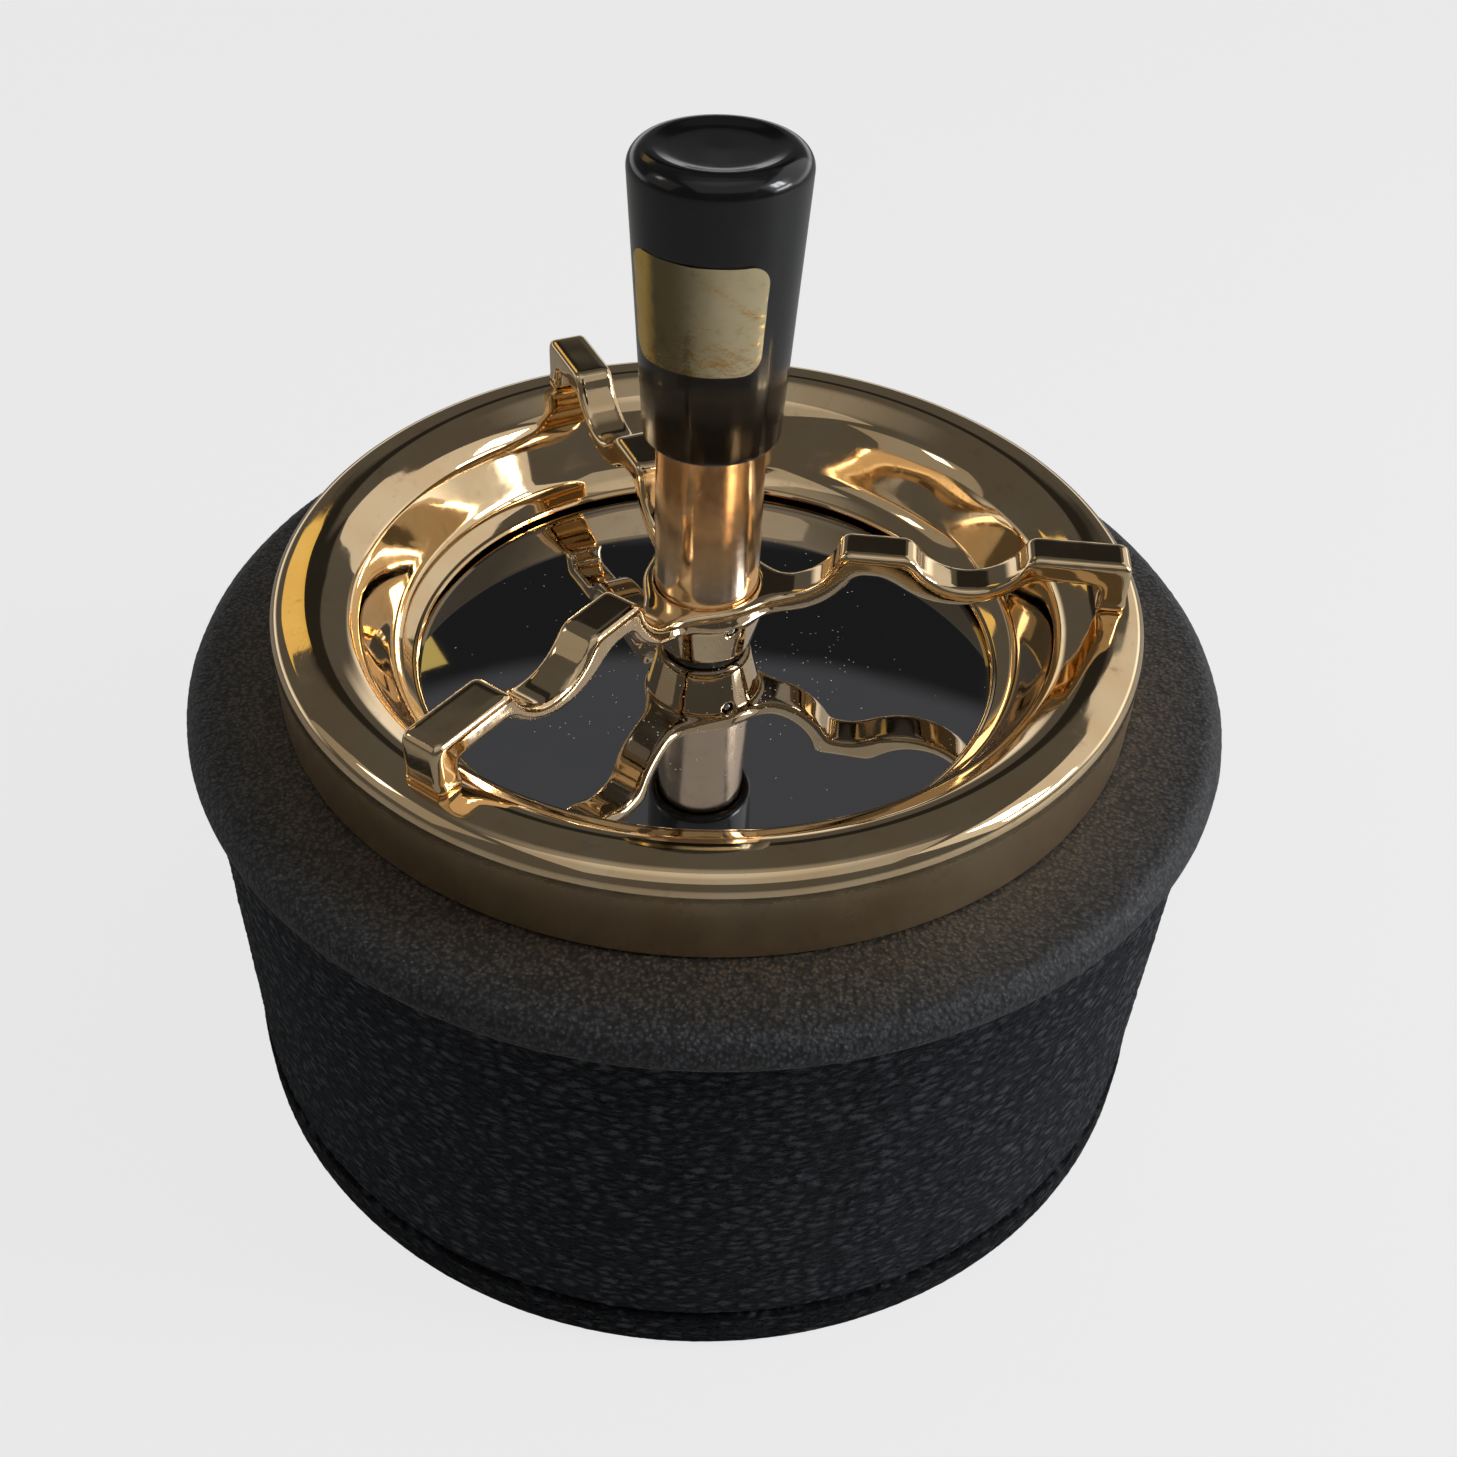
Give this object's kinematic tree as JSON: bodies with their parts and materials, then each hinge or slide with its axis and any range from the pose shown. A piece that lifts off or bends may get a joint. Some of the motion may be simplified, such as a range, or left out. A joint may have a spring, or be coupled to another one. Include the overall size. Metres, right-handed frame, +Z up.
{
  "type": "push-down spinning ashtray",
  "caption": "Table ashtray: leather-wrapped drum, lift-off gilded dish with wavy rest arms, and a sprung push knob that drops and spins a mirror disc.",
  "frame": {"origin": "centre of the drum on the surface it stands on", "axes": "+Z up along the drum's, column's and spindle's common axis; the rest arm nearest +X is turned 5 degrees towards -Y; the foil label faces -Y"},
  "size_m": [0.1364, 0.136, 0.1314],
  "materials": {
    "gilt": "polished gold plating on cast and pressed metal",
    "crinkle": "black fine-grained crinkle enamel",
    "leather": "black grained leather, semi-matte",
    "felt": "black felt",
    "disc": "dark mirror-polished plating, neutral grey",
    "knob": "black, high gloss",
    "foil": "gold foil, plain",
    "steel": "bright zinc plating",
    "brass": "as turned",
    "nylon": "natural nylon"
  },
  "bodies": {
    "pot": {"pot_shell": "crinkle", "base_plate": "crinkle", "base_felt": "felt", "leather_wrap": "leather"},
    "lid": {"gilt_rim": "gilt", "spider": "gilt", "spider_screw_1": "steel", "spider_screw_2": "steel", "spider_screw_3": "steel", "column_tube": "gilt", "drive_nut": "brass", "nut_pin": "steel", "hub_bush": "nylon", "return_spring": "steel"},
    "plunger": {"knob": "knob", "knob_label": "foil", "knob_insert": "brass", "spring_seat": "steel"},
    "spinner": {"spindle": "steel", "thrust_washer": "nylon", "spinner_disc": "disc", "disc_boss": "steel", "disc_washer": "steel", "disc_nut": "steel"}
  },
  "joints": [
    {"name": "lid_lift", "type": "slide", "parent": "pot", "child": "lid", "axis": [0, 0, 1], "range_m": [0, 0.06]},
    {"name": "plunger_press", "type": "slide", "parent": "lid", "child": "plunger", "axis": [0, 0, -1], "range_m": [0, 0.018], "stiffness_N_per_m": 150, "springref_m": -0.02, "deforming": ["return_spring"]},
    {"name": "disc_spin", "type": "hinge", "parent": "plunger", "child": "spinner", "pos_m": [0, 0, 0.06], "axis": [0, 0, 1], "range_deg": [-324, 0]}
  ],
  "couplings": [
    {"joint": "disc_spin", "follows": "plunger_press", "rad_per_m": -314.16}
  ]
}
